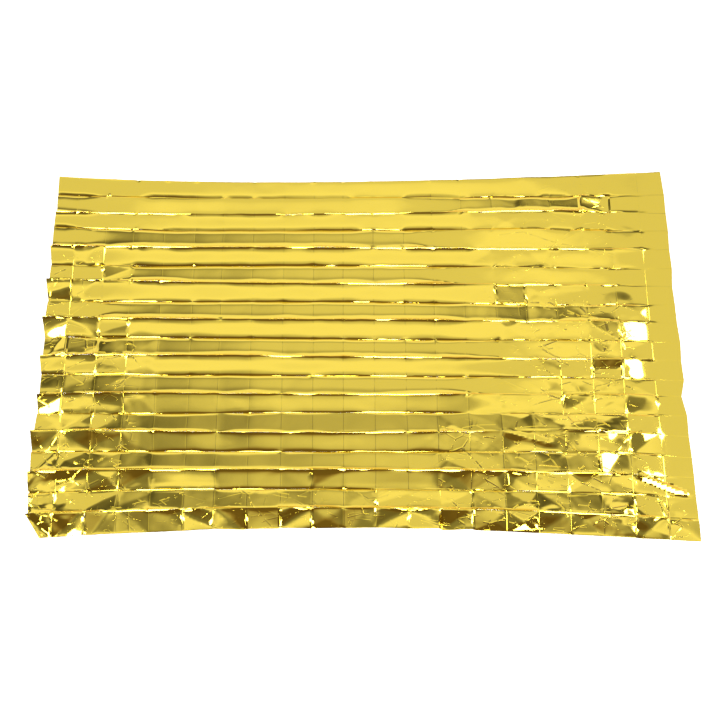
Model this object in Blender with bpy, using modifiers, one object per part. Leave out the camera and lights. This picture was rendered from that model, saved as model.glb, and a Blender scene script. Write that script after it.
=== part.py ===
"""Emergency foil blanket: one cut sheet of metallised film, opened out of its packet and laid on a surface.

The sheet keeps its packet folds. Nineteen long strips run along X, folded alternately down and up, so that the odd
fold lines are grooves lying on the surface and the even ones are raised crests. Twenty-one columns cross them. The
right-hand column has settled flat. Origin: the centre of the sheet's box, on the surface. +X runs along the sheet,
+Y across it and +Z up. All sizes are in metres.
"""

import math
from collections import namedtuple

import bpy
import numpy as np

# Driving sizes. Opened flat, the sheet is 2.10 by 1.30: the strips are about 68 mm wide and the columns 100 mm.
SHEET_LENGTH = 2.10
FILM_THICKNESS = 0.0015
STRIPS = 19
COLUMNS = 21

# Mesh layout: two cells to a column, and three rows to a strip, with the lips beside its folds
CELLS_ALONG = 2 * COLUMNS
LIP_SHARE = 0.15

# How the folds fade out: the right-hand column lies flat
FLAT_FROM_X = 0.895
FLAT_FADE = 0.11
COLUMN_RIDGE = 0.0012
CELL_BULGE = 0.0011

# Stations along X at which a fold line's place and its height are given: left end, three between, right end
PLACE_STATIONS = (-1.042, -0.576, -0.056, 0.464, 1.042)
RISE_STATIONS = (-1.04, -0.70, 0.28, 0.56, 0.84)

Fold = namedtuple(
    "Fold",
    "name left left_mid middle right_mid right x_left x_right "
    "rise_left rise_left_mid rise_middle rise_right_mid rise_right",
)

# One row for each fold line and for the two long edges, far edge first. The places across the sheet are in mm from
# the centre, the ends in m, and the heights above the surface in mm. The even folds are crests. The odd ones are
# grooves that lie on the surface, apart from the right-hand third, where the crumpled film lifts some of them.
FOLDS = (
    Fold("far edge", 629, 607, 605, 618, 651, -1.041, 1.030, 0, 1, 1, 1, 0),
    Fold("groove 1", 559, 547, 547, 550, 559, -1.040, 1.036, 0, 0, 0, 0, 0),
    Fold("crest 2", 491, 480, 480, 487, 489, -1.039, 1.036, 4, 6, 10, 14, 4),
    Fold("groove 3", 438, 422, 423, 423, 421, -1.043, 1.038, 0, 0, 0, 8, 1),
    Fold("crest 4", 363, 352, 350, 347, 352, -1.045, 1.036, 8, 15, 15, 12, 8),
    Fold("groove 5", 292, 288, 289, 283, 280, -1.039, 1.039, 0, 0, 0, 5, 1),
    Fold("crest 6", 237, 224, 218, 217, 215, -1.046, 1.034, 10, 14, 14, 9, 4),
    Fold("groove 7", 161, 157, 156, 148, 148, -1.039, 1.037, 0, 0, 0, 0, 1),
    Fold("crest 8", 100, 91, 88, 83, 84, -1.047, 1.038, 11, 15, 15, 11, 11),
    Fold("groove 9", 29, 28, 23, 18, 13, -1.039, 1.043, 0, 0, 0, 4, 6),
    Fold("crest 10", -37, -37, -43, -47, -52, -1.043, 1.040, 11, 15, 15, 8, 8),
    Fold("groove 11", -100, -103, -106, -111, -120, -1.038, 1.043, 0, 0, 0, 6, 1),
    Fold("crest 12", -172, -169, -173, -172, -175, -1.040, 1.030, 12, 16, 16, 8, 6),
    Fold("groove 13", -234, -234, -231, -235, -240, -1.038, 1.042, 0, 0, 0, 6, 4),
    Fold("crest 14", -296, -299, -303, -299, -312, -1.048, 1.041, 15, 19, 19, 17, 12),
    Fold("groove 15", -365, -361, -363, -364, -379, -1.045, 1.044, 0, 0, 0, 2, 8),
    Fold("crest 16", -431, -425, -425, -431, -446, -1.045, 1.045, 17, 20, 20, 18, 15),
    Fold("groove 17", -497, -487, -485, -492, -512, -1.044, 1.045, 0, 0, 0, 3, 3),
    Fold("crest 18", -568, -554, -549, -558, -585, -1.040, 1.045, 17, 21, 22, 20, 15),
    Fold("near edge", -642, -620, -610, -622, -651, -0.996, 1.048, 0, 2, 2, 2, 0),
)

FILM_COLOUR = (0.72, 0.50, 0.08, 1.0)
FILM_METALLIC = 1.0
FILM_ROUGHNESS = 0.18


def clear_scene():
    """Remove every object of the opened scene."""
    for item in list(bpy.data.objects):
        bpy.data.objects.remove(item, do_unlink=True)


def film_material():
    """Return the gold metallised film."""
    material = bpy.data.materials.new("gold_film")
    material.use_nodes = True
    shader = material.node_tree.nodes["Principled BSDF"]
    shader.inputs["Base Color"].default_value = FILM_COLOUR
    shader.inputs["Metallic"].default_value = FILM_METALLIC
    shader.inputs["Roughness"].default_value = FILM_ROUGHNESS
    return material


def row_shares():
    """Return the fold number, counted from the near edge, at which each row of the grid lies."""
    steps = (0.0, LIP_SHARE, 1.0 - LIP_SHARE)
    shares = [strip + step for strip in range(STRIPS) for step in steps]
    return np.array(shares + [float(STRIPS)])


def fold_places(x):
    """Return where each fold line lies across the sheet at each x, near edge first.

    A fold line is a smooth curve of the fourth degree through its five stations.
    """
    places = []
    for fold in reversed(FOLDS):
        values = (fold.left, fold.left_mid, fold.middle, fold.right_mid, fold.right)
        places.append(np.polyval(np.polyfit(PLACE_STATIONS, values, 4), x) / 1000.0)
    return np.array(places)


def fold_heights(x):
    """Return how high each fold line stands at each x, near edge first, faded out where the sheet lies flat."""
    fade = np.clip((FLAT_FROM_X + FLAT_FADE / 2.0 - x) / FLAT_FADE, 0.0, 1.0)
    fade = fade * fade * (3.0 - 2.0 * fade)
    heights = []
    for fold in reversed(FOLDS):
        values = (fold.rise_left, fold.rise_left_mid, fold.rise_middle, fold.rise_right_mid, fold.rise_right)
        heights.append(np.interp(x, RISE_STATIONS, values) / 1000.0 * fade)
    return np.array(heights)


def sheet_points(columns, rows):
    """Return the points of the film's upper face, one for each column and row of the grid.

    Between a groove and a crest the height follows the fifth power of the distance from the strip's middle: nearly
    level over most of the strip, and steep beside each fold. Each cell bulges a little, and alternate columns meet in
    a low ridge.
    """
    share = np.clip(rows, 0.0, STRIPS - 1e-9)
    strip = np.floor(share).astype(int)
    inside = share - strip
    inside[-1] = 1.0
    along = columns / columns[-1]
    middle_x = (along - 0.5) * SHEET_LENGTH
    places = fold_places(middle_x)
    heights = fold_heights(middle_x)
    near_y, far_y = places[strip], places[strip + 1]
    near_z, far_z = heights[strip], heights[strip + 1]
    across = inside[:, None]
    y = near_y + (far_y - near_y) * across
    middle_z = 0.5 * (near_z + far_z)
    z = middle_z + 0.5 * (far_z - near_z) * (2.0 * across - 1.0) ** 5

    ends = np.array([(fold.x_left, fold.x_right) for fold in reversed(FOLDS)])
    left = np.interp(rows, np.arange(STRIPS + 1), ends[:, 0])
    right = np.interp(rows, np.arange(STRIPS + 1), ends[:, 1])
    x = left[:, None] + (right - left)[:, None] * along[None, :]

    raised = np.clip(middle_z / 0.006, 0.0, 1.0)
    ridge = np.cos(math.pi * columns / 2.0)[None, :] * COLUMN_RIDGE
    bulge = np.sin(math.pi * across) * np.abs(np.sin(math.pi * columns / 2.0))[None, :] * CELL_BULGE
    z = z + (ridge + bulge) * raised * np.sin(math.pi * across)
    return x, y, np.maximum(z, 0.0) + FILM_THICKNESS


def foil_blanket(collection, material):
    """Build the sheet as a grid laid on the folds and thickened downwards."""
    rows = row_shares()
    columns = np.arange(CELLS_ALONG + 1, dtype=float)
    bpy.ops.mesh.primitive_grid_add(x_subdivisions=CELLS_ALONG, y_subdivisions=len(rows) - 1, size=2.0)
    sheet = bpy.context.active_object
    sheet.name = "foil_blanket"
    mesh = sheet.data
    mesh.name = "foil_blanket"
    flat = np.empty(len(mesh.vertices) * 3)
    mesh.vertices.foreach_get("co", flat)
    flat = flat.reshape(-1, 3)
    column = np.rint((flat[:, 0] + 1.0) / 2.0 * CELLS_ALONG).astype(int)
    row = np.rint((flat[:, 1] + 1.0) / 2.0 * (len(rows) - 1)).astype(int)
    x, y, z = sheet_points(columns, rows)
    placed = np.stack((x[row, column], y[row, column], z[row, column]), axis=1)
    mesh.vertices.foreach_set("co", placed.ravel())
    mesh.update()
    mesh.materials.append(material)

    film = sheet.modifiers.new("Film", "SOLIDIFY")
    film.thickness = FILM_THICKNESS
    film.offset = -1.0
    collection.objects.link(sheet)
    for other in list(sheet.users_collection):
        if other is not collection:
            other.objects.unlink(sheet)
    return sheet


def main():
    """Build the blanket in a collection of its own."""
    clear_scene()
    collection = bpy.data.collections.new("emergency_foil_blanket")
    bpy.context.scene.collection.children.link(collection)
    foil_blanket(collection, film_material())


main()
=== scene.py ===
"""Emergency foil blanket, dressed for its studio picture.

One sheet of gold metallised film, opened out of its packet and laid on a pale floor. The packet folds are still in
it: nineteen strips run along X between fold lines, and twenty-one columns cross them. Strips that lean away from the
viewer look olive and those that face the viewer look yellow, because the film is nearly a mirror.
"""

import logging
import math
from dataclasses import dataclass, field
from enum import Enum
from typing import NamedTuple

import bpy
import numpy as np
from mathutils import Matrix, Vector

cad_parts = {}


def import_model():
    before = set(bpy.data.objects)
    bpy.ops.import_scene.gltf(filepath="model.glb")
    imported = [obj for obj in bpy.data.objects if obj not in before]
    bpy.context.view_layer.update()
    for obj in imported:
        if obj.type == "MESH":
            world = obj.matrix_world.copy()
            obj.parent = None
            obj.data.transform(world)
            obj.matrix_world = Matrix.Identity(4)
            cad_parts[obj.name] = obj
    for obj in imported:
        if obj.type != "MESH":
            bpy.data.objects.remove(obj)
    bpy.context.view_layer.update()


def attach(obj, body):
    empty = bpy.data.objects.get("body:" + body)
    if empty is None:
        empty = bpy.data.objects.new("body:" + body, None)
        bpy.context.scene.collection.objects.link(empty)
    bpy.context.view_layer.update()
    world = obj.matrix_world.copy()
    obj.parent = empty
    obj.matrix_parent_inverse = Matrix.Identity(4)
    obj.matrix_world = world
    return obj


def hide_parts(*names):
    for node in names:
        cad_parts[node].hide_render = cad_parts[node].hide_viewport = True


LOG = logging.getLogger("foil_blanket")
MM = 0.001
COLUMNS = 21

Array = np.ndarray


class Fold(NamedTuple):
    """A packet fold along the sheet, or one of its long edges.

    The five places are in mm across the sheet from its centre, from the left end to the right one. The ends are in
    metres. The five heights are in mm above the floor.
    """

    left: float
    left_mid: float
    middle: float
    right_mid: float
    right: float
    x_left: float
    x_right: float
    rise_left: float
    rise_left_mid: float
    rise_middle: float
    rise_right_mid: float
    rise_right: float


class Strip(NamedTuple):
    """The lean of one strip between two folds, in degrees, towards the viewer where it is positive."""

    far_left: float
    left: float
    left_mid: float
    middle: float
    right_mid: float
    right: float
    far_right: float


class Crease(NamedTuple):
    """A stray crease: its two ends in metres, and its height and half width in mm."""

    x0: float
    y0: float
    x1: float
    y1: float
    height: float
    half_width: float


class Crumple(NamedTuple):
    """A crumpled patch.

    Its middle, half sizes and edge softness are in metres. The strengths are of its facets and of its cells' tilts.
    """

    x: float
    y: float
    half_x: float
    half_y: float
    soft: float
    facets: float
    tilts: float


class Cell(NamedTuple):
    """A cell of the packet's grid that lies at its own slant.

    Strips count from the far edge and columns from the left, both from 1. The slants are in degrees on top of the
    strip's own lean, towards the viewer and towards the right where they are positive. The crease crosses the cell's
    middle at an angle to the folds, and bends by some degrees, as a ridge where that is negative.
    """

    strip: int
    column: int
    to_viewer: float
    to_right: float
    angle: float = 0.0
    bend: float = 0.0


class Glint(NamedTuple):
    """A stretch where the film stands steep beside a fold: its two ends in columns and its width in mm."""

    start: float
    end: float
    width: float


PLACE_STATIONS = (-1.042, -0.576, -0.056, 0.464, 1.042)
RISE_STATIONS = (-1.04, -0.70, 0.28, 0.56, 0.84)
LEAN_STATIONS = (-0.95, -0.68, -0.35, 0.10, 0.45, 0.62, 0.85)

# The far edge, folds 1 to 18 and the near edge. The even folds are crests and the odd ones grooves.
FOLDS = (
    Fold(629, 607, 605, 618, 651, -1.041, 1.030, 2, 5, 8, 8, 2),
    Fold(559, 547, 547, 550, 559, -1.040, 1.036, 0, 0, 0, 0, 0),
    Fold(491, 480, 480, 487, 489, -1.039, 1.036, 4, 5, 9, 14, 2),
    Fold(438, 422, 423, 423, 421, -1.043, 1.038, 0, 0, 1, 12, 1),
    Fold(363, 352, 350, 347, 352, -1.045, 1.036, 6, 14, 14, 10, 5),
    Fold(292, 288, 289, 283, 280, -1.039, 1.039, 0, 0, 0, 7, 1),
    Fold(237, 224, 218, 217, 215, -1.046, 1.034, 8, 13, 13, 6, 0),
    Fold(161, 157, 156, 148, 148, -1.039, 1.037, 0, 0, 0, 0, 1),
    Fold(100, 91, 88, 83, 84, -1.047, 1.038, 8, 14, 14, 9, 7),
    Fold(29, 28, 23, 18, 13, -1.039, 1.043, 0, 0, 0, 5, 5),
    Fold(-37, -37, -43, -47, -52, -1.043, 1.040, 8, 14, 13, 1, 4),
    Fold(-100, -103, -106, -111, -120, -1.038, 1.043, 0, 0, 2, 8, 1),
    Fold(-172, -169, -173, -172, -175, -1.040, 1.030, 9, 15, 14, 1, 0),
    Fold(-234, -234, -231, -235, -240, -1.038, 1.042, 0, 0, 0, 9, 5),
    Fold(-296, -299, -303, -299, -312, -1.048, 1.041, 12, 17, 17, 15, 8),
    Fold(-365, -361, -363, -364, -379, -1.045, 1.044, 0, 0, 0, 3, 9),
    Fold(-431, -425, -425, -431, -446, -1.045, 1.045, 14, 18, 18, 14, 9),
    Fold(-497, -487, -485, -492, -512, -1.044, 1.045, 0, 0, 1, 4, 4),
    Fold(-568, -554, -549, -558, -585, -1.040, 1.045, 14, 19, 20, 18, 10),
    Fold(-642, -620, -610, -622, -651, -0.996, 1.048, 0, 2, 2, 2, 0),
)

# Strips 1 to 19, from the far edge. The odd ones face the viewer.
STRIPS = (
    Strip(0, 4, 7, 9.5, 10, 9, 2),
    Strip(1, 10, 8, 9, -6, -6, 1),
    Strip(3, 7, 7, 8.5, 8.5, 8, 2),
    Strip(0, -7, -6.5, -5, 10, 11, 4),
    Strip(4, 7, 7.3, 7.5, 8, 10, 8),
    Strip(4, -6, -5, -5, 4, 9, 4),
    Strip(0, 7, 7, 7.5, 8, 9, 1),
    Strip(3, -7, -5, -5, -6, -6, 1),
    Strip(0, 8, 6.5, 7, 9, 10, 7),
    Strip(-10, -8, -5, -5.5, 0, 9, 6),
    Strip(0, 3, -0.5, 1, -5, -6, 7),
    Strip(-12, -8, -7, -6, 2, 9, 2),
    Strip(0, 12, 10.5, 10.9, 14.5, 15.5, 7),
    Strip(0, -14, -14, -13, -9, -14, -14),
    Strip(17, 15, 9.5, 12, 13, 12, -6),
    Strip(-8, -15, -16, -9, -8, -15, -6),
    Strip(12, 16, 8, 15, 15, 8, 5),
    Strip(-10, -16, -16, -8, -10, -15, -14),
    Strip(12, 14, 15, 15, 15, 16, 14),
)

CRUMPLES = (
    Crumple(-0.99, 0.10, 0.06, 0.20, 0.05, 0.20, 0.5),
    Crumple(-0.90, -0.25, 0.14, 0.24, 0.07, 0.25, 0.7),
    Crumple(-0.99, -0.54, 0.06, 0.09, 0.05, 1.2, 0.7),
    Crumple(0.72, 0.45, 0.10, 0.12, 0.05, 0.10, 0.4),
    Crumple(0.72, -0.06, 0.14, 0.21, 0.05, 0.28, 1.2),
    Crumple(0.56, -0.45, 0.28, 0.14, 0.08, 0.30, 1.1),
    Crumple(0.88, -0.585, 0.10, 0.04, 0.04, 0.9, 0.7),
    Crumple(0.00, -0.560, 0.95, 0.070, 0.03, 0.12, 0.6),
    Crumple(0.52, 0.15, 0.10, 0.35, 0.05, 0.08, 0.4),
)

SLANTED = (
    (2, 18, -2, 0), (2, 19, 2, 13, 5, 1.5), (5, 2, 4, -5, 60, 6), (5, 20, 3, 0), (6, 3, 12, 0, 20, 5),
    (7, 1, 13, -3, 10, -9), (7, 2, 3, -3, 55, 6), (7, 16, -15, -2), (8, 2, 1, 0), (8, 19, -3, 2, 20, 4),
    (9, 1, 1, -5, 20, 7), (9, 2, 2, 2, -35, 6), (9, 3, -10, 0, 20, 4), (9, 19, 5, 2, -30, 9), (9, 20, 0, 8),
    (10, 1, 2, -7, 50, 7), (10, 2, -1, 2, 15, 3), (10, 17, 0, 1), (11, 2, 1, -2, 10, 5),
    (11, 3, -9, 0, -15, 4), (11, 19, 9, -1, 5, 13), (11, 20, 0, 8), (12, 1, 1, 0), (12, 2, 0, 2, 20, 3),
    (13, 1, 2, -6, 25, 8), (13, 3, 5, -2, -10, 4), (13, 16, 4, 0), (13, 17, 7, 0), (13, 18, 15, 5, 15, 4),
    (13, 19, 13, 1, 35, 3), (13, 20, 16, -2, 50, 4), (14, 1, 2, 0), (14, 2, 2, -1, 30, 5),
    (14, 3, 3, 1, 40, 5), (14, 18, -4, 0), (14, 19, -5, 0), (14, 20, -3, 0), (15, 1, 5, -2, 30, 6),
    (15, 2, 2, 0, -30, 6), (15, 3, 0, -1, 20, 5), (15, 18, 1, 0), (15, 19, -2, 3, 50, 4),
    (15, 20, 10, 3, 40, 6), (16, 1, -4, 5, 45, 9), (16, 18, -1, 0), (16, 19, 3, 6, 60, 7), (17, 1, 0, 2),
    (17, 2, 1, -2, 15, 6), (17, 4, 3, -3, 30, 5), (17, 5, -5, 0), (17, 6, -4, 0), (17, 10, 4, 1, 30, 4),
    (17, 17, -7, 0), (18, 2, 8, 0), (18, 3, 2, -3, 25, 5), (18, 4, 0, 0, 20, 3), (18, 12, 9, -2, 20, 4),
    (18, 13, 8, 2, -10, 4), (18, 14, 11, 0, 20, 3), (18, 18, 2, 0), (18, 19, -4, 0), (18, 20, -3, -4),
    (18, 21, -2, -5), (19, 2, 2, -3, 40, 8), (19, 3, 2, 2, 50, 6), (19, 6, -3, -9, -30, 9),
    (19, 7, 2, 8, -40, 9), (19, 9, -2, 9, 35, 9), (19, 11, -2, -3, 60, 5), (19, 12, -3, 6, 30, 7),
    (19, 13, -12, -12, -35, 8), (19, 14, 1, -9, 30, 9), (19, 20, 6, -3, 40, 8), (19, 21, 8, -5, -40, 4),
)

# Cells of the crumpled patches that lie as flat as their strips do
CALM = (
    (3, 18), (5, 18), (7, 18), (7, 19), (7, 20), (8, 1), (8, 16), (8, 17), (9, 18), (10, 18), (12, 17),
    (12, 18), (16, 17), (18, 5),
)

CELLS = [Cell(*row) for row in SLANTED] + [Cell(strip, column, 0.0, 0.0) for strip, column in CALM]

# The glints beside folds 1 to 18
GLINTS = (
    ((1.2, 3.5, 2), (10.2, 12.2, 4), (14.2, 16.8, 3.5), (17.5, 19, 2.5)),
    ((1.3, 4.8, 4.5), (7.8, 9, 2), (9.4, 12.2, 3.5), (14.2, 17.1, 4.5), (18.1, 19.6, 6)),
    ((0.5, 4.3, 2.5), (10.4, 12.1, 3), (14.1, 17, 2.5), (17.7, 18.9, 5), (19, 19.9, 2.5)),
    ((1.3, 3.3, 6), (3.4, 4.4, 2.5), (8.1, 8.9, 2.5), (10.2, 12.2, 3.5), (14.2, 17, 4), (17.2, 18.2, 6)),
    ((1.7, 3.1, 3), (9.4, 9.8, 2.5), (10.4, 13.1, 3.5), (15.7, 16.7, 3.5), (18.2, 19.9, 4)),
    ((1.3, 3.3, 7), (9.9, 12.3, 4), (15.5, 17.2, 4.5), (18.5, 19.1, 5)),
    ((1.3, 4.4, 3), (10.3, 10.9, 4), (11.3, 12.6, 2), (14.2, 15, 4), (16.9, 17.5, 4), (18.4, 19.1, 4)),
    ((0.3, 1.1, 10), (1.4, 3.2, 6), (11, 11.6, 5), (14.5, 15.4, 2.5), (15.6, 17, 5)),
    ((2.2, 4.3, 3), (10.5, 12.5, 2.5), (15.1, 16.1, 3.5), (16.3, 17.9, 5)),
    ((1.3, 4, 5), (7.3, 8.6, 3), (10.3, 13.2, 4), (15.1, 16.1, 4), (16.1, 18.3, 5)),
    ((1.1, 4.3, 3.5), (8.9, 9.5, 2), (10.5, 12.5, 3), (15.6, 17.7, 4)),
    ((1.6, 3, 5), (8.4, 9.1, 3), (10.1, 13.1, 4), (17, 18.1, 7)),
    ((1.5, 4.2, 4), (7.5, 8.6, 1.5), (10.4, 12.5, 3), (15.2, 16.1, 4), (16.4, 18, 5)),
    ((2.2, 4, 4), (8, 8.6, 2.5), (10.4, 12.2, 4), (13.2, 14.4, 2), (18.5, 20.1, 6)),
    ((0.3, 2.1, 4), (2.1, 4, 3), (10.2, 12.2, 3), (15.3, 16.9, 4)),
    ((3.1, 4, 3), (10.5, 10.8, 5), (11.3, 13, 3.5), (14.6, 15.1, 3), (15.7, 19.6, 9)),
    ((0.6, 2, 4), (2.5, 4, 3), (12.2, 13.3, 4), (14, 14.4, 7), (15.2, 19.1, 4.5)),
    ((2, 4, 4), (14.1, 16, 4), (16, 18.3, 5), (18.3, 19.7, 8)),
)

SEAMS = [[Glint(*row) for row in rows] for rows in GLINTS]

CREASES = (
    Crease(0.860, -0.440, 1.025, -0.505, 13.0, 13.5),
    Crease(0.44, -0.300, 0.62, -0.345, 4.0, 16.0),
)


class Steep(Enum):
    """How steeply the film stands beside its folds, in degrees.

    A glint's lean is for the sheet's middle, and turns by so many degrees for each metre to the far edge.
    """

    LIP = 19.0
    GLINT = 46.0
    TURN = 7.3


class Zone(Enum):
    """How far, as shares of the strip, a rising strip's steeper ends reach from its lower and its upper fold."""

    NARROW = (0.045, 0.055)
    LOW = (0.060, 0.110)
    WIDE = (0.170, 0.300)


@dataclass(frozen=True)
class Grid:
    """The rows' places in strips from the far edge, and the columns' places in columns from the left end."""

    rows: Array
    columns: Array

    @property
    def strip(self) -> Array:
        """The strip that each row lies in, from 0."""
        return np.minimum(self.rows.astype(int), len(STRIPS) - 1)

    @property
    def cell(self) -> Array:
        """The packet's column that each column of the grid lies in, from 0."""
        return np.minimum(self.columns.astype(int), COLUMNS - 1)

    @property
    def a(self) -> Array:
        """How far each column of the grid lies across its cell, from 0 to 1."""
        return self.columns - self.cell

    @property
    def b(self) -> Array:
        """How far each row lies across its strip, from 0 at the far fold to 1."""
        return self.rows - self.strip


@dataclass
class FilmSheet:
    """The blanket's film, as one open surface."""

    length: float = 2.10
    width: float = 1.30
    rows_per_strip: int = 18
    calm_steps: int = 9
    crumpled_steps: int = 18
    calm_columns: tuple[int, ...] = (4, 5, 6, 7, 8, 9, 10, 11, 12, 20)
    column_pitch: float = 0.1005
    column_lean: float = 0.008
    tab_size: float = 0.009
    flat_from: float = 0.885
    flat_fade: float = 0.12
    flat_share: float = 0.12
    near_margin: float = -0.50
    near_fade: float = 0.06
    tilt_rise: float = 0.003
    lift: float = 0.0006
    stand: float = 0.0042
    pinch: float = 0.0015
    pinch_reach: float = 0.0040
    wide_strips: int = 12
    top: float = 0.0295
    over_top: float = 0.15
    sharp_from: float = 13.0
    seed: int = 11
    rng: np.random.Generator = field(init=False)

    def __post_init__(self) -> None:
        """Start the sheet's own stream of random numbers."""
        self.rng = np.random.default_rng(self.seed)

    @staticmethod
    def spread(count: int, pull: float) -> Array:
        """Return count + 1 places from 0 to 1, drawn towards both ends.

        Formula: (1 - pull) * k + pull * (1 - cos(pi * k)) / 2, with k from 0 to 1.

        Args:
            count: the number of steps.
            pull: 0 for even steps, 1 for steps that follow a cosine.

        Returns:
            The places, first and last included.
        """
        k = np.linspace(0.0, 1.0, count + 1)
        return (1.0 - pull) * k + pull * 0.5 * (1.0 - np.cos(np.pi * k))

    def lattice(self) -> Grid:
        """Return the grid, whose calm columns have fewer steps than the crumpled ones."""
        strips = len(STRIPS)
        step = self.spread(self.rows_per_strip, 0.92)[:-1]
        rows = (np.arange(strips)[:, None] + step[None, :]).ravel()
        rows = np.append(rows, float(strips))
        columns = []
        for number in range(COLUMNS):
            steps = self.calm_steps if number in self.calm_columns else self.crumpled_steps
            columns.append(number + self.spread(steps, 0.6)[:-1])
        return Grid(rows, np.append(np.concatenate(columns), float(COLUMNS)))

    def column_lines(self, down: Array) -> Array:
        """Return where the column creases cross each row.

        Formula: x = right end - pitch * number from the right + lean * (share down the sheet - 1/2), and the left
        and right ends follow the outline's table. The left end also steps out by a tab at each crest.

        Args:
            down: the rows' places, counted in strips.

        Returns:
            One row for each row of the grid and one column for each of the 22 lines.
        """
        folds = np.arange(len(FOLDS))
        left = np.interp(down, folds, [fold.x_left for fold in FOLDS])
        right = np.interp(down, folds, [fold.x_right for fold in FOLDS])
        number = np.arange(COLUMNS, -1, -1)
        shift = self.rng.uniform(-0.003, 0.003, COLUMNS + 1)
        lines = 1.046 - self.column_pitch * number + shift
        lines = lines[None, :] + self.column_lean * (down / len(STRIPS) - 0.5)[:, None]
        share = down / 2.0 % 1.0
        tab = self.tab_size * np.clip(down / 6.0, 0.0, 1.0) * (share - 0.5)
        lines[:, 0] = left + tab
        lines[:, -1] = right
        return lines

    def fold_places(self, x: Array) -> Array:
        """Return how far across the sheet each fold lies at each x.

        Formula: a curve of the fourth degree through the fold's five stations, plus small kinks of under a
        millimetre at the column creases.

        Args:
            x: places along the sheet, in metres.

        Returns:
            One row for each fold, in metres.
        """
        table = np.array([fold[:5] for fold in FOLDS], dtype=float).T
        curves = np.polyfit(PLACE_STATIONS, table, 4)
        powers = x[None, :] ** np.arange(4, -1, -1)[:, None]
        knots = np.linspace(-1.05, 1.05, 3 * COLUMNS)
        kinks = self.rng.uniform(-0.9, 0.9, (len(FOLDS), len(knots)))
        wobble = np.array([np.interp(x, knots, kink) for kink in kinks])
        wobble[0] *= 0.4
        wobble[-1] *= 0.6
        return (curves.T @ powers + wobble) * MM

    def fold_rises(self, x: Array) -> Array:
        """Return how high each fold stands at each x.

        Formula: the table's heights joined by straight lines, times 1 plus a random share of up to 0.16 at each
        column crease, plus the stand of all the folds, times a smooth step that falls to 0 where the right-hand
        column lies flat.

        Args:
            x: places along the sheet, in metres.

        Returns:
            One row for each fold, in metres.
        """
        knots = np.linspace(-1.05, 1.05, COLUMNS + 1)
        shares = self.rng.uniform(-0.16, 0.16, (len(FOLDS), len(knots)))
        fade = self.ease((self.flat_from + self.flat_fade - x) / self.flat_fade)
        heights = []
        for fold, share in zip(FOLDS, shares):
            rise = np.interp(x, RISE_STATIONS, fold[7:])
            heights.append(rise * (1.0 + np.interp(x, knots, share)))
        return (np.array(heights) * MM + self.stand) * fade

    @staticmethod
    def ease(share: Array) -> Array:
        """Return the smooth step 3 s^2 - 2 s^3 of a share held between 0 and 1."""
        held = np.clip(share, 0.0, 1.0)
        return held * held * (3.0 - 2.0 * held)

    @staticmethod
    def held(share: Array) -> Array:
        """Return the share held softly under 1: (q + 1 - sqrt((q - 1)^2 + s^2)) / 2, with s of 0.25."""
        return 0.5 * (share + 1.0 - np.sqrt((share - 1.0) ** 2 + 0.0625)) + 0.0154

    def glint_widths(self, columns: Array) -> Array:
        """Return how wide the steep stretch beside each fold is at each column of the grid.

        Formula: (0.5 * width + 0.9 mm) * sqrt(sin(pi * share of the stretch)) * (1 + a random part that changes at
        each half column).

        Args:
            columns: the columns' places, counted in columns.

        Returns:
            One row for each fold, in metres.
        """
        knots = np.linspace(0.0, COLUMNS, 2 * COLUMNS + 1)
        widths = np.zeros((len(FOLDS), len(columns)))
        for fold, seam in enumerate(SEAMS, start=1):
            uneven = 1.0 + np.interp(columns, knots, self.rng.uniform(-0.25, 0.25, len(knots)))
            for glint in seam:
                share = np.clip((columns - glint.start) / (glint.end - glint.start), 0.0, 1.0)
                lens = (0.5 * glint.width + 0.9) * MM * np.sin(np.pi * share) ** 0.5 * uneven
                widths[fold] = np.maximum(widths[fold], lens)
        return widths

    def fold_pinches(self, columns: Array) -> Array:
        """Return how sharply each fold is pinched at each column of the grid.

        Formula: 1 plus a random part of up to 0.3, and 0 at the two edges.

        Args:
            columns: the columns' places, counted in columns.

        Returns:
            One row for each fold.
        """
        knots = np.linspace(0.0, COLUMNS, COLUMNS + 1)
        parts = self.rng.uniform(-0.3, 0.3, (len(FOLDS), len(knots)))
        sizes = 1.0 + np.array([np.interp(columns, knots, part) for part in parts])
        sizes[[0, -1]] = 0.0
        return sizes

    def strip_surface(self, grid: Grid, x: Array) -> tuple[Array, Array]:
        """Return the place across the sheet and the height of every point of the folded strips.

        Formula, with t from 0 at a strip's far fold to 1 at its near one: the drop is P t, the lean's own, plus the
        rest of the drop between the two folds, part of it beside each fold. In the strips that face the viewer a
        part dies away as part * exp(-distance / reach), or along a steep glint where that stands higher. In the
        strips that lean away a part is used up evenly over a zone. Each fold is also pinched by pinch *
        exp(-distance / reach), up at a crest and down in a groove, and more so in the far half.

        Args:
            grid: the film's grid.
            x: places along the sheet, in metres.

        Returns:
            y and z, one row for each row of the grid.
        """
        strip, columns = grid.strip, grid.columns
        t = grid.b[:, None]
        places = self.fold_places(x)
        rises = self.fold_rises(x)
        lean = np.array([np.interp(x, LEAN_STATIONS, row) for row in STRIPS])
        fade = self.ease((self.flat_from + 0.02 - x) / self.flat_fade)
        lean = np.radians(lean + self.cell_noise(0.5, columns)) * fade
        depth = places[:-1] - places[1:]
        level = depth * np.tan(lean)
        rest = rises[:-1] - rises[1:] - level
        faces = (np.arange(len(STRIPS)) % 2 == 0)[:, None]
        far_part = rest * np.where(faces, 0.55, 0.40)
        near_part = rest - far_part

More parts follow.
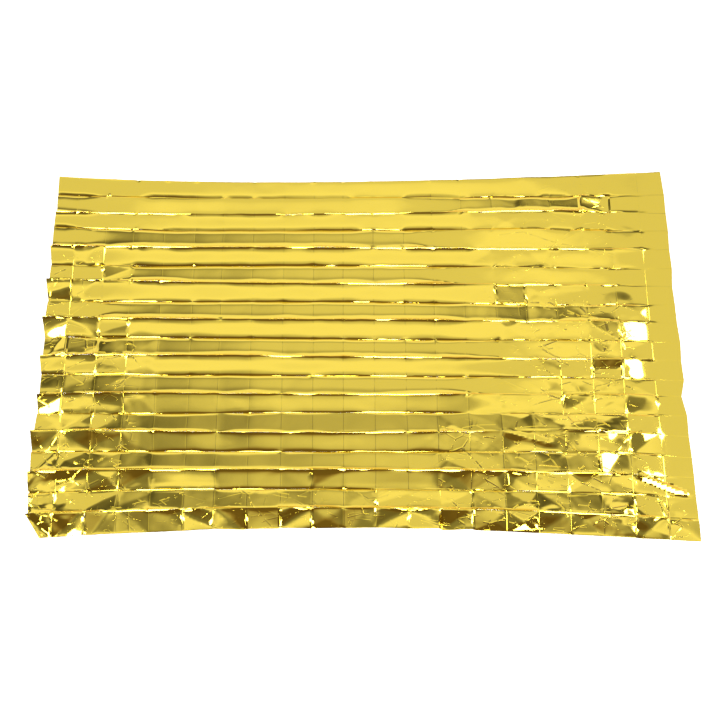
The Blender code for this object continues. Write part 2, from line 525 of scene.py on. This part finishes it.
        widths = self.glint_widths(columns) * fade
        turn = Steep.TURN.value * places[:-1]
        steep = np.tan(np.radians(Steep.GLINT.value + turn)) - np.tan(lean)
        soft = math.tan(math.radians(Steep.LIP.value))
        pinch = np.zeros(widths.shape)
        tops = []
        for part, width, place in ((far_part, widths[:-1], 0), (near_part, widths[1:], 1)):
            reach = np.maximum(np.abs(part) / soft, 2.5 * MM)
            lift = np.where(width > 0.0, steep * width + part * (np.exp(-width / reach) - 1.0), 0.0)
            pinch[place : place + len(STRIPS)] += np.where(faces, lift, 0.0)
            tops.append((part, reach, part + lift))

        pinches = self.pinch * self.fold_pinches(columns) * fade * (1.0 - self.ease(widths / (2.0 * MM)))
        far = self.ease((places - 0.20) / 0.25)
        ends = self.ease((np.abs(x) - 0.45) / 0.20)
        pinches = pinches * (1.12 + 1.7 * far) * (1.0 + 0.35 * ends)
        reaches = self.pinch_reach * (1.0 + 0.4 * far)

        away = self.ease((np.radians(1.0) - lean) / np.radians(4.0))
        wide, low, narrow = (np.array(zone.value)[:, None, None] for zone in (Zone.WIDE, Zone.LOW, Zone.NARROW))
        far_strips = (np.arange(len(STRIPS)) < self.wide_strips)[:, None]
        zones = narrow + (np.where(far_strips, wide, low) - narrow) * away

        z = (rises[:-1] - far_part)[strip] - level[strip] * t
        gaps = (t * depth[strip], (1.0 - t) * depth[strip])
        for side, ((part, reach, top), gap) in enumerate(zip(tops, gaps)):
            sign = 1.0 if side == 0 else -1.0
            lip = np.maximum(part[strip] * np.exp(-gap / reach[strip]), top[strip] - steep[strip] * gap)
            share = gap / depth[strip] / zones[side][strip]
            ramp = part[strip] * (1.0 - np.clip(self.held(share), 0.0, 1.0))
            pull = -sign * pinch[strip + side] * np.exp(-gap / (2.5 * MM))
            z = z + np.where(faces[strip], sign * lip, sign * ramp + pull)
            crest = np.where((strip + side) % 2 == 0, 1.0, -1.0)[:, None]
            z = z + crest * pinches[strip + side] * np.exp(-gap / reaches[strip + side])
        y = places[strip] * (1.0 - t) + places[strip + 1] * t
        return y, z

    def cell_noise(self, size: float, columns: Array) -> Array:
        """Return one random number for each strip and each column of the grid, alike within a cell.

        Args:
            size: the largest value.
            columns: the columns' places, counted in columns.

        Returns:
            One row for each strip and one column for each column of the grid.
        """
        cells = self.rng.uniform(-size, size, (len(STRIPS), COLUMNS))
        middles = np.arange(COLUMNS) + 0.5
        ends = np.sort(np.concatenate((middles - 0.44, middles + 0.44)))
        return np.array([np.interp(columns, ends, np.repeat(row, 2)) for row in cells])

    def column_shape(self, grid: Grid, x: Array, y: Array) -> Array:
        """Return the height that the column creases and the cells' own bulge add.

        Formula: a zigzag with its tops at every other column crease, plus a bulge sin(pi a) sin(pi b) in each cell
        with its own random size, where a and b run from 0 to 1 across the cell.

        Args:
            grid: the film's grid.
            x: the points' places along the sheet.
            y: the points' places across it.

        Returns:
            Heights in metres.
        """
        strip, cell = grid.strip, grid.cell
        a, b = grid.a[None, :], grid.b[:, None]
        turn = np.where(cell % 2 == 0, 1.0, -1.0)[None, :]
        zigzag = turn * (2.0 * a - 1.0)
        right = self.ease((x - 0.30) / 0.25)
        left = self.ease((-0.55 - x) / 0.25)
        near = self.ease((-0.40 - y) / 0.15)
        strength = 0.08 + 0.5 * right + 0.3 * left + 0.5 * near
        sizes = self.rng.uniform(-0.5, 0.9, (len(STRIPS), COLUMNS))
        bulge = sizes[strip][:, cell] * np.sin(np.pi * a) * np.sin(np.pi * b)
        return (0.6 * zigzag * strength * np.sin(np.pi * b) ** 0.5 + bulge * (0.25 + 0.5 * strength)) * MM

    def masks(self, x: Array, y: Array) -> tuple[Array, Array]:
        """Return how strongly each point is creased into facets, and how strongly its cell tilts.

        Formula: the largest of the patches' masks, each a box with soft edges times the patch's strength.

        Args:
            x: the points' places along the sheet.
            y: the points' places across it.

        Returns:
            The facets' and the tilts' strengths.
        """
        facets = np.full(x.shape, 0.03)
        tilts = np.full(x.shape, 0.07)
        for patch in CRUMPLES:
            in_x = self.ease((patch.half_x + patch.soft - np.abs(x - patch.x)) / patch.soft)
            in_y = self.ease((patch.half_y + patch.soft - np.abs(y - patch.y)) / patch.soft)
            facets = np.maximum(facets, in_x * in_y * patch.facets)
            tilts = np.maximum(tilts, in_x * in_y * patch.tilts)
        return facets, tilts

    @staticmethod
    def cell_table() -> Array:
        """Return the slants and creases of every cell: the table's own, and none for the rest.

        Returns:
            Four numbers for each strip and column: the slope to the viewer and to the right, then the crease's
            direction and its bend.
        """
        table = np.zeros((len(STRIPS), COLUMNS, 4))
        for cell in CELLS:
            slopes = np.tan(np.radians((cell.to_viewer, cell.to_right)))
            crease = math.radians(cell.angle), math.tan(math.radians(cell.bend))
            table[cell.strip - 1, cell.column - 1] = (*slopes, *crease)
        return table

    def fans(self, grid: Grid, lines: Array) -> Array:
        """Return the crumpled cells' facets.

        Formula: a random height at each crossing of a fold and a column crease and at a random point inside each
        cell, joined by four flat triangles to a cell, times the strength of the patch there. The cells of the table
        have no random point.

        Args:
            grid: the film's grid.
            lines: where the column creases cross each fold.

        Returns:
            Heights in metres.
        """
        places = np.array([fold.middle for fold in FOLDS]) * MM
        corner_force = self.masks(lines, np.broadcast_to(places[:, None], lines.shape))[1]
        corner = self.rng.normal(0.0, 2.1, lines.shape) * MM * corner_force
        shape = (len(STRIPS), COLUMNS)
        force = 0.25 * (corner_force[:-1, :-1] + corner_force[1:, :-1] + corner_force[:-1, 1:] + corner_force[1:, 1:])
        middle = 0.25 * (corner[:-1, :-1] + corner[1:, :-1] + corner[:-1, 1:] + corner[1:, 1:])
        for listed in CELLS:
            force[listed.strip - 1, listed.column - 1] = 0.0
        middle = middle + self.rng.normal(0.0, 3.4, shape) * MM * force
        apex_a, apex_b = self.rng.uniform(0.2, 0.8, shape), self.rng.uniform(0.25, 0.75, shape)
        down, along = grid.strip[:, None], grid.cell[None, :]
        a, b = grid.a[None, :], grid.b[:, None]
        top, ca, cb = middle[down, along], apex_a[down, along], apex_b[down, along]
        far_left, far_right = corner[down, along], corner[down, along + 1]
        near_left, near_right = corner[down + 1, along], corner[down + 1, along + 1]
        sides = (
            (b, cb, a, ca, far_left, far_right),
            (1.0 - a, 1.0 - ca, b, cb, far_right, near_right),
            (1.0 - b, 1.0 - cb, 1.0 - a, 1.0 - ca, near_right, near_left),
            (a, ca, 1.0 - b, 1.0 - cb, near_left, far_left),
        )
        best = np.full((len(grid.rows), len(grid.columns)), -9.0)
        total = np.zeros(best.shape)
        for gap, reach, run, turn, first, second in sides:
            peak = gap / reach
            last = run - peak * turn
            start = 1.0 - last - peak
            inside = np.minimum(np.minimum(peak, last), start)
            total = np.where(inside > best, start * first + last * second + peak * top, total)
            best = np.maximum(best, inside)
        return total

    @staticmethod
    def cell_heights(table: Array, strip: Array, cell: Array, u: Array, v: Array) -> Array:
        """Return the heights of the given cells' slanted faces.

        Formula: -v * slope to the viewer - u * slope to the right + bend * distance from the crease.

        Args:
            table: the cells' slants and creases.
            strip: the strip of each row.
            cell: the column of each column of the grid.
            u: metres from the cell's middle to the right.
            v: metres from the cell's middle to the viewer.

        Returns:
            Heights in metres.
        """
        own = table[strip][:, cell]
        turn, bend = own[..., 2], own[..., 3]
        return bend * (np.abs(u * np.sin(turn) + v * np.cos(turn)) - 0.02) - v * own[..., 0] - u * own[..., 1]

    def cell_faces(self, grid: Grid) -> Array:
        """Return the height that the cells' own slants and creases add.

        Formula: each cell's height, blended with its neighbours' within 5.5 mm of the column crease and 4 mm of the
        fold between them, so that cells at different heights are joined by a narrow steep face.

        Args:
            grid: the film's grid.

        Returns:
            Heights in metres.
        """
        table = self.cell_table()
        pitch, deep = self.column_pitch, self.width / len(STRIPS)
        strip, cell, a, b = grid.strip, grid.cell, grid.a, grid.b
        next_cell = np.clip(cell + np.where(a < 0.5, -1, 1), 0, COLUMNS - 1)
        next_strip = np.clip(strip + np.where(b < 0.5, -1, 1), 0, len(STRIPS) - 1)
        gap_x, gap_y = np.minimum(a, 1.0 - a) * pitch, np.minimum(b, 1.0 - b) * deep
        side = (0.5 * (1.0 - self.ease(gap_x / (5.5 * MM))))[None, :]
        across = (0.5 * (1.0 - self.ease(gap_y / (4.0 * MM))))[:, None]
        total = np.zeros((len(grid.rows), len(grid.columns)))
        for strips, row_share in ((strip, 1.0 - across), (next_strip, across)):
            v = ((grid.rows - strips - 0.5) * deep)[:, None]
            for cells, share in ((cell, 1.0 - side), (next_cell, side)):
                u = ((grid.columns - cells - 0.5) * pitch)[None, :]
                total += row_share * share * self.cell_heights(table, strips, cells, u, v)
        return total

    def knots(self, grid: Grid) -> Array:
        """Return the small puckers where fold lines meet column creases.

        Formula: for each crossing, size * exp(-(x / 7 mm)^2 - (y / 4.2 mm)^2), skewed at random, with the distances
        from the crossing. The sizes are random, and many are near zero.

        Args:
            grid: the film's grid.

        Returns:
            Heights in metres.
        """
        fold = np.rint(grid.rows).astype(int)
        line = np.rint(grid.columns).astype(int)
        sizes = self.rng.normal(0.0, 1.0, (len(FOLDS), COLUMNS + 1)) ** 3
        sizes = np.clip(sizes, -2.6, 2.6)
        off_x = (grid.columns - line)[None, :] * self.column_pitch
        off_y = (grid.rows - fold)[:, None] * (self.width / len(STRIPS))
        skew = self.rng.uniform(-0.8, 0.8, sizes.shape)[fold][:, line]
        reach = (off_x / 0.007) ** 2 + ((off_y + skew * off_x) / 0.0042) ** 2
        return sizes[fold][:, line] * np.exp(-reach) * MM

    @staticmethod
    def facets(across: Array, along: Array, bend: float, key: int) -> Array:
        """Return a surface of flat facets with sharp edges between them.

        Formula: random heights from -1 to 1 on a square lattice with a step of 1, bent by slow sine waves and joined
        by flat triangles. Each square is cut along one or the other diagonal at random.

        Args:
            across: the points' places along the sheet, counted in facets.
            along: the points' places across it, counted in facets.
            bend: how far the lattice is bent, as a share of its step.
            key: the seed of this layer.

        Returns:
            Heights from -1 to 1.
        """
        rng = np.random.default_rng(key)
        bent = across + bend * np.sin(along * 0.9 + 2.1 * np.sin(across * 0.37)) + 2.0
        along = along + bend * np.sin(across * 1.1 + 1.7 * np.sin(along * 0.41)) + 2.0
        i, j = np.floor(bent).astype(int), np.floor(along).astype(int)
        shape = (int(i.max()) + 2, int(j.max()) + 2)
        knots = rng.uniform(-1.0, 1.0, shape)
        cut = rng.random(shape) < 0.5
        u, v = bent - i, along - j
        h00, h10 = knots[i, j], knots[i + 1, j]
        h01, h11 = knots[i, j + 1], knots[i + 1, j + 1]
        low = h00 + u * (h10 - h00) + v * (h01 - h00)
        high = h11 + (1.0 - u) * (h01 - h11) + (1.0 - v) * (h10 - h11)
        one = np.where(u + v < 1.0, low, high)
        low = h10 + (1.0 - u) * (h00 - h10) + v * (h11 - h10)
        high = h01 + u * (h11 - h01) + (1.0 - v) * (h00 - h01)
        other = np.where(u > v, low, high)
        return np.where(cut[i, j], one, other)

    def crumple(self, grid: Grid, strength: Array) -> Array:
        """Return the height of the crumpled patches.

        Formula: two layers of facets on the packet's own grid, of half a cell and a quarter, times the local
        strength.

        Args:
            grid: the film's grid.
            strength: the local strength.

        Returns:
            Heights in metres.
        """
        down, along = np.meshgrid(grid.rows, grid.columns, indexing="ij")
        middle = 3.2 * self.facets(along * 2.1, down * 1.7, 0.18, 4)
        fine = 1.1 * self.facets(along * 4.6, down * 3.4, 0.25, 5)
        return (middle + fine) * strength * MM

    @staticmethod
    def stray_creases(x: Array, y: Array) -> Array:
        """Return the height of the long stray creases.

        Formula: a tent of the crease's height over its line, down to 0 at its half width, and down to 0 at its ends.

        Args:
            x: the points' places along the sheet.
            y: the points' places across it.

        Returns:
            Heights in metres.
        """
        total = np.zeros(x.shape)
        for crease in CREASES:
            run = np.array([crease.x1 - crease.x0, crease.y1 - crease.y0])
            length = float(np.hypot(*run))
            run /= length
            along = (x - crease.x0) * run[0] + (y - crease.y0) * run[1]
            off = np.abs((y - crease.y0) * run[0] - (x - crease.x0) * run[1])
            tent = np.clip(1.0 - off / (crease.half_width * MM), 0.0, 1.0)
            ends = np.clip(np.minimum(along, length - along) / 0.03, 0.0, 1.0)
            total += crease.height * MM * tent * ends
        return total

    def build(self) -> bpy.types.Object:
        """Return the film as one open grid surface with the packet's own coordinates as its UV map.

        Returns:
            The blanket's object, at the origin.
        """
        grid = self.lattice()
        lines = self.column_lines(grid.rows)
        corners = lines[:: self.rows_per_strip]
        share = grid.a[None, :]
        x = lines[:, grid.cell] * (1.0 - share) + lines[:, grid.cell + 1] * share
        guide = x[len(x) // 2]
        y, z = self.strip_surface(grid, guide)
        folded = self.ease((self.flat_from + self.flat_fade - x) / self.flat_fade)
        flat = self.flat_share + (1.0 - self.flat_share) * folded
        flat = np.maximum(flat, self.ease((self.near_margin - y) / self.near_fade))
        z = z + self.column_shape(grid, x, y) * flat
        facets, tilts = self.masks(x, y)
        faces = self.fans(grid, corners) + self.cell_faces(grid)
        z = z + (self.crumple(grid, facets) + faces + self.tilt_rise * tilts) * flat
        z = z + self.knots(grid) * flat + self.stray_creases(x, y)
        z = self.lift + self.soft_floor(z)
        z = np.minimum(z, self.top) + self.over_top * np.maximum(z - self.top, 0.0)
        sheet = self.to_mesh("film_sheet", grid, x, y, z)
        crumple = sheet.data.attributes.new("crumple", "FLOAT", "POINT")
        crumple.data.foreach_set("value", (facets * flat).ravel())
        return sheet

    @staticmethod
    def soft_floor(z: Array) -> Array:
        """Return heights that stay above the floor: (z + sqrt(z^2 + s^2)) / 2, with s of 1 mm."""
        return 0.5 * (z + np.sqrt(z * z + (1.0 * MM) ** 2))

    def to_mesh(self, name: str, grid: Grid, x: Array, y: Array, z: Array) -> bpy.types.Object:
        """Put the grid of points into a mesh of four-sided faces that look up.

        Args:
            name: the object's name.
            grid: the film's grid.
            x: the points' places along the sheet.
            y: the points' places across it.
            z: the points' heights.

        Returns:
            The new object, linked to the scene.
        """
        high, wide = x.shape
        corner = np.arange(high * wide).reshape(high, wide)
        faces = np.stack((corner[1:, :-1], corner[1:, 1:], corner[:-1, 1:], corner[:-1, :-1]), axis=-1)
        loops = faces.reshape(-1).astype(np.int32)
        count = len(loops) // 4
        mesh = bpy.data.meshes.new(name)
        mesh.vertices.add(high * wide)
        mesh.vertices.foreach_set("co", np.stack((x, y, z), axis=-1).ravel())
        mesh.loops.add(len(loops))
        mesh.loops.foreach_set("vertex_index", loops)
        mesh.polygons.add(count)
        mesh.polygons.foreach_set("loop_start", np.arange(count, dtype=np.int32) * 4)
        mesh.polygons.foreach_set("loop_total", np.full(count, 4, dtype=np.int32))
        mesh.update(calc_edges=True)
        mesh.shade_smooth()
        mesh.set_sharp_from_angle(angle=math.radians(self.sharp_from))
        flat_u = np.broadcast_to(grid.columns[None, :] / COLUMNS, x.shape).ravel()
        flat_v = np.broadcast_to(1.0 - grid.rows[:, None] / len(STRIPS), x.shape).ravel()
        uv = mesh.uv_layers.new(name="packet")
        uv.data.foreach_set("uv", np.stack((flat_u[loops], flat_v[loops]), axis=-1).ravel())
        sheet = bpy.data.objects.new(name, mesh)
        bpy.context.scene.collection.objects.link(sheet)
        return sheet


@dataclass(frozen=True)
class GoldFilm:
    """Gold metallised film: nearly a mirror, with a clear face and fine crinkles."""

    gold: tuple[float, float, float, float] = (0.90, 0.685, 0.066, 1.0)
    silver: tuple[float, float, float, float] = (0.86, 0.87, 0.88, 1.0)
    roughness: float = 0.055
    coat: float = 0.9
    crease_height: float = 0.00013
    crinkle_scale: float = 30.0

    def material(self) -> bpy.types.Material:
        """Return the film's material.

        Returns:
            A Principled material with bump from the packet's creases and from fine crinkles.
        """
        material = bpy.data.materials.new("gold_film")
        material.use_nodes = True
        tree = material.node_tree
        uv = add_node(tree, "UVMap", uv_map="packet").outputs["UV"]
        inputs = {"UV": uv, "Columns": COLUMNS, "Strips": len(STRIPS)}
        creases = add_node(tree, "Group", inputs, node_tree=packet_creases())

        crumple = add_node(tree, "Attribute", attribute_name="crumple").outputs["Fac"]
        amount = maths(tree, "MINIMUM", maths(tree, "MULTIPLY_ADD", crumple, 3.0, -0.1), 1.0)
        amount = maths(tree, "MAXIMUM", amount, 0.0)
        place = add_node(tree, "TexCoord").outputs["Object"]
        inputs = {"Place": place, "Scale": self.crinkle_scale, "Crumple": amount}
        crinkle = add_node(tree, "Group", inputs, node_tree=fine_crinkle())

        gain = maths(tree, "MULTIPLY_ADD", amount, 2.0, 1.0)
        height = maths(tree, "MULTIPLY", creases.outputs["Height"], gain)
        first = add_node(tree, "Bump", {"Strength": 1.0, "Distance": self.crease_height, "Height": height})
        inputs = {"Strength": 1.0, "Distance": 1.0, "Height": crinkle.outputs["Height"], "Normal": first.outputs[0]}
        second = add_node(tree, "Bump", inputs)

        inputs = {"To Min": self.roughness - 0.02, "To Max": self.roughness + 0.03, "Value": crinkle.outputs["Haze"]}
        haze = add_node(tree, "MapRange", inputs)
        back = add_node(tree, "NewGeometry").outputs["Backfacing"]
        colour = add_node(tree, "Mix", {"A": self.gold, "B": self.silver, "Factor": back}, data_type="RGBA")
        inputs = {
            "Base Color": colour.outputs["Result"],
            "Metallic": 1.0,
            "Roughness": haze.outputs["Result"],
            "Normal": second.outputs[0],
            "Coat Weight": self.coat,
            "Coat Roughness": 0.04,
            "Coat IOR": 1.5,
        }
        fill_inputs(tree.nodes["Principled BSDF"], inputs)
        return material


def fill_inputs(node: bpy.types.Node, inputs: dict[str | int, object]) -> None:
    """Link or set some of a node's inputs.

    Args:
        node: the node.
        inputs: a socket or a value for each input, by its name or number.
    """
    for name, value in inputs.items():
        if isinstance(value, bpy.types.NodeSocket):
            node.id_data.links.new(value, node.inputs[name])
        else:
            node.inputs[name].default_value = value


def add_node(tree: bpy.types.NodeTree, kind: str, inputs: dict | None = None, **settings: object) -> bpy.types.Node:
    """Add a shader node.

    Args:
        tree: the tree that it goes in.
        kind: its type, without the first word.
        inputs: a socket or a value for some of its inputs.
        settings: its own settings.

    Returns:
        The node.
    """
    node = tree.nodes.new(f"ShaderNode{kind}")
    for name, value in settings.items():
        setattr(node, name, value)
    fill_inputs(node, inputs or {})
    return node


def new_group(name: str, inputs: dict[str, str], outputs: dict[str, str]) -> bpy.types.NodeTree:
    """Make an empty shader node group.

    Args:
        name: the group's name.
        inputs: each input's name and socket type.
        outputs: each output's name and socket type.

    Returns:
        The group, with its input and output nodes in it.
    """
    group = bpy.data.node_groups.new(name, "ShaderNodeTree")
    for title, kind in inputs.items():
        group.interface.new_socket(name=title, in_out="INPUT", socket_type=kind)
    for title, kind in outputs.items():
        group.interface.new_socket(name=title, in_out="OUTPUT", socket_type=kind)
    group.nodes.new("NodeGroupInput")
    group.nodes.new("NodeGroupOutput")
    return group


def maths(tree: bpy.types.NodeTree, kind: str, *values: object) -> bpy.types.NodeSocket:
    """Add a Math node.

    Args:
        tree: the tree that it goes in.
        kind: the node's operation.
        values: a socket or a number for each input.

    Returns:
        The node's output.
    """
    node = tree.nodes.new("ShaderNodeMath")
    node.operation = kind
    for slot, value in zip(node.inputs, values):
        if isinstance(value, (int, float)):
            slot.default_value = value
        else:
            tree.links.new(value, slot)
    return node.outputs[0]


def packet_creases() -> bpy.types.NodeTree:
    """Return the group for the thin creases on the packet's fold lines.

    Height is a narrow ridge exp(-distance / width) on each column line and each fold line, up on every other line and
    down on the rest.
    """
    group = new_group(
        "packet_creases",
        {"UV": "NodeSocketVector", "Columns": "NodeSocketFloat", "Strips": "NodeSocketFloat"},
        {"Height": "NodeSocketFloat"},
    )
    source = group.nodes["Group Input"].outputs
    parts = add_node(group, "SeparateXYZ", {0: source["UV"]}).outputs
    heights = []
    for axis, count, width in (("X", "Columns", 0.010), ("Y", "Strips", 0.014)):
        line = maths(group, "MULTIPLY", parts[axis], source[count])
        turn = maths(group, "MULTIPLY", line, math.pi)
        side = maths(group, "COSINE", turn)
        wave = maths(group, "ABSOLUTE", maths(group, "SINE", turn))
        near = maths(group, "POWER", math.e, maths(group, "DIVIDE", wave, -width * math.pi))
        heights.append(maths(group, "MULTIPLY", near, side))
    fill_inputs(group.nodes["Group Output"], {"Height": maths(group, "ADD", *heights)})
    return group


def fine_crinkle() -> bpy.types.NodeTree:
    """Return the group for the film's fine crinkles.

    Height, in metres, is soft noise plus thin straight ridges on the borders of two Voronoi patterns, with patches
    left out by the same noise, times Crumple. Haze is a slow noise from 0 to 1 for the roughness.
    """
    group = new_group(
        "fine_crinkle",
        {"Place": "NodeSocketVector", "Scale": "NodeSocketFloat", "Crumple": "NodeSocketFloat"},
        {"Height": "NodeSocketFloat", "Haze": "NodeSocketFloat"},
    )
    source = group.nodes["Group Input"].outputs
    place = source["Place"]
    soft = add_node(group, "TexNoise", {"Vector": place, "Scale": source["Scale"], "Detail": 3.0}).outputs["Fac"]
    total = maths(group, "MULTIPLY", soft, 0.00010)
    share = maths(group, "MULTIPLY", source["Crumple"], maths(group, "GREATER_THAN", soft, 0.51))
    wide = add_node(group, "VectorMath", {0: place, 1: (0.6, 1.0, 1.0)}, operation="MULTIPLY").outputs["Vector"]
    for scale, width, high in ((10.0, 0.0022, 0.0009), (21.0, 0.0018, 0.0004)):
        cells = add_node(group, "TexVoronoi", feature="DISTANCE_TO_EDGE")
        fill_inputs(cells, {"Vector": wide, "Scale": scale})
        near = maths(group, "MULTIPLY_ADD", cells.outputs["Distance"], -1.0 / (scale * width), 1.0)
        ridge = maths(group, "MULTIPLY", maths(group, "MAXIMUM", near, 0.0), high)
        total = maths(group, "MULTIPLY_ADD", ridge, share, total)
    haze = add_node(group, "TexNoise", {"Vector": place, "Scale": 6.0, "Detail": 4.0})
    fill_inputs(group.nodes["Group Output"], {"Height": total, "Haze": haze.outputs["Fac"]})
    return group


class SkyStop(NamedTuple):
    """One stop of the studio's light, by its angle over the far horizon in degrees.

    The level is its brightness, the pool how much of it gathers in the middle, and the warmth how orange it is.
    """

    angle: float
    level: float
    pool: float
    warmth: float = 0.0


SKY = (
    SkyStop(0, 0.68, 0.0, 0.9),
    SkyStop(12, 0.86, 0.0, 0.55),
    SkyStop(22, 0.90, 0.0),
    SkyStop(35, 0.88, 0.0),
    SkyStop(39, 0.50, 1.0),
    SkyStop(44, 0.46, 1.0),
    SkyStop(49, 0.58, 0.9),
    SkyStop(54, 0.69, 0.8),
    SkyStop(59.5, 0.67, 0.0),
    SkyStop(73, 0.69, 0.0),
    SkyStop(78, 0.82, 0.0),
    SkyStop(83, 0.89, 0.0),
    SkyStop(88, 0.88, 0.0),
    SkyStop(96, 0.64, 0.8),
    SkyStop(103, 0.56, 0.8),
    SkyStop(110, 0.38, 0.8, 0.3),
    SkyStop(118, 0.15, 0.3, 1.0),
    SkyStop(180, 0.08, 0.0, 1.0),
)


@dataclass
class Studio:
    """The pale floor, the soft light and the camera."""

    floor_size: float = 60.0
    brightness: float = 1.22
    pool_width: float = 0.165
    lens: float = 65.0
    camera_place: tuple[float, float, float] = (-0.006, -1.600, 3.940)
    camera_aim: tuple[float, float, float] = (-0.006, -0.048, 0.0)

    def camera(self) -> None:
        """Place the camera and make it the scene's."""
        data = bpy.data.cameras.new("camera")
        data.lens = self.lens
        data.sensor_width = 36.0
        camera = bpy.data.objects.new("camera", data)
        camera.location = self.camera_place
        look = Vector(self.camera_aim) - Vector(self.camera_place)
        camera.rotation_euler = look.to_track_quat("-Z", "Y").to_euler()
        bpy.context.scene.collection.objects.link(camera)
        bpy.context.scene.camera = camera

    def floor(self) -> bpy.types.Object:
        """Return the pale floor."""
        half = self.floor_size / 2.0
        mesh = bpy.data.meshes.new("floor")
        corners = [(-half, -half, 0.0), (half, -half, 0.0), (half, half, 0.0), (-half, half, 0.0)]
        mesh.from_pydata(corners, [], [(0, 1, 2, 3)])
        floor = bpy.data.objects.new("floor", mesh)
        bpy.context.scene.collection.objects.link(floor)
        material = bpy.data.materials.new("pale_floor")
        material.use_nodes = True
        inputs = {
            "Base Color": (0.93, 0.93, 0.93, 1.0),
            "Roughness": 0.9,
            "Specular IOR Level": 0.1,
            "Emission Color": (1.0, 1.0, 1.0, 1.0),
            "Emission Strength": 0.30,
        }
        fill_inputs(material.node_tree.nodes["Principled BSDF"], inputs)
        mesh.materials.append(material)
        return floor

    def sky(self) -> None:
        """Make the world: a brightness that changes with the angle over the far horizon, pooled in the middle."""
        world = bpy.data.worlds.new("studio")
        bpy.context.scene.world = world
        world.use_nodes = True
        tree = world.node_tree
        tree.nodes.clear()
        place = add_node(tree, "TexCoord").outputs["Generated"]
        parts = add_node(tree, "SeparateXYZ", {0: place}).outputs
        share = maths(tree, "DIVIDE", maths(tree, "ARCTAN2", parts["Z"], parts["Y"]), math.pi)
        level, pooled, warmth = (
            self.curve(tree, share, [(stop.angle / 180.0, stop[part]) for stop in SKY]) for part in (1, 2, 3)
        )
        squares = [maths(tree, "POWER", parts[axis], 2.0) for axis in ("Z", "Y")]
        height = maths(tree, "SQRT", maths(tree, "ADD", *squares))
        side = maths(tree, "DIVIDE", maths(tree, "DIVIDE", parts["X"], height), self.pool_width)
        bell = maths(tree, "POWER", math.e, maths(tree, "MULTIPLY", maths(tree, "MULTIPLY", side, side), -1.0))
        gap = maths(tree, "SUBTRACT", maths(tree, "MULTIPLY_ADD", bell, 0.82, 0.18), 1.0)
        factor = maths(tree, "MULTIPLY_ADD", gap, pooled, 1.0)
        strength = maths(tree, "MULTIPLY", maths(tree, "MULTIPLY", level, factor), self.brightness)
        inputs = {"A": (1.0, 0.985, 0.95, 1.0), "B": (1.0, 0.70, 0.36, 1.0), "Factor": warmth}
        tone = add_node(tree, "Mix", inputs, data_type="RGBA").outputs["Result"]
        light = add_node(tree, "Background", {"Color": tone, "Strength": strength}).outputs[0]
        plain = add_node(tree, "Background", {"Color": (1.0, 1.0, 1.0, 1.0)}).outputs[0]
        rays = add_node(tree, "LightPath").outputs["Is Camera Ray"]
        mix = add_node(tree, "MixShader", {0: rays, 1: light, 2: plain}).outputs[0]
        add_node(tree, "OutputWorld", {"Surface": mix})

    @staticmethod
    def curve(tree: bpy.types.NodeTree, share: bpy.types.NodeSocket, stops: list) -> bpy.types.NodeSocket:
        """Add a colour ramp through the given stops.

        Args:
            tree: the tree that it goes in.
            share: the value that drives it.
            stops: pairs of a place and a level, in order.

        Returns:
            The ramp's output.
        """
        node = add_node(tree, "ValToRGB", {"Fac": share})
        node.color_ramp.interpolation = "LINEAR"
        points = node.color_ramp.elements
        points.remove(points[1])
        points[0].position = stops[0][0]
        points[0].color = (stops[0][1],) * 3 + (1.0,)
        for place, level in stops[1:]:
            point = points.new(place)
            point.color = (level,) * 3 + (1.0,)
        return node.outputs["Color"]

    def lamp(self, name: str, place: tuple[float, float, float], size: tuple[float, float], level: float) -> None:
        """Add a soft box that looks at the blanket.

        Args:
            name: the light's name.
            place: its place in metres.
            size: its width and height in metres.
            level: how bright its face is, where 1 is as bright as the studio's top light.
        """
        data = bpy.data.lights.new(name, "AREA")
        data.shape = "RECTANGLE"
        data.size, data.size_y = size
        data.energy = level * math.pi * size[0] * size[1]
        lamp = bpy.data.objects.new(name, data)
        lamp.location = place
        look = Vector((0.0, 0.0, 0.0)) - Vector(place)
        lamp.rotation_euler = look.to_track_quat("-Z", "Y").to_euler()
        lamp.visible_camera = False
        bpy.context.scene.collection.objects.link(lamp)

    def light(self) -> None:
        """Light the studio."""
        self.sky()
        self.lamp("box_low", (0.0, -4.6, 1.7), (6.4, 1.8), 11.0)
        self.lamp("box_left", (-3.9, 0.0, 3.6), (5.0, 1.2), 11.0)
        self.lamp("box_right", (3.9, 0.0, 3.6), (5.0, 1.2), 11.0)


def main() -> None:
    """Load the frame, build the film, dress it and set the studio."""
    logging.basicConfig(level=logging.INFO, format="%(name)s: %(message)s")
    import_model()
    studio = Studio()
    studio.camera()

    film = FilmSheet()
    sheet = film.build()
    sheet.data.materials.append(GoldFilm().material())
    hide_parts("foil_blanket")
    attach(sheet, "root")
    LOG.info("film sheet: %d points", len(sheet.data.vertices))

    studio.floor()
    studio.light()
    bpy.context.scene.view_settings.view_transform = "Standard"


if __name__ == "__main__":
    main()
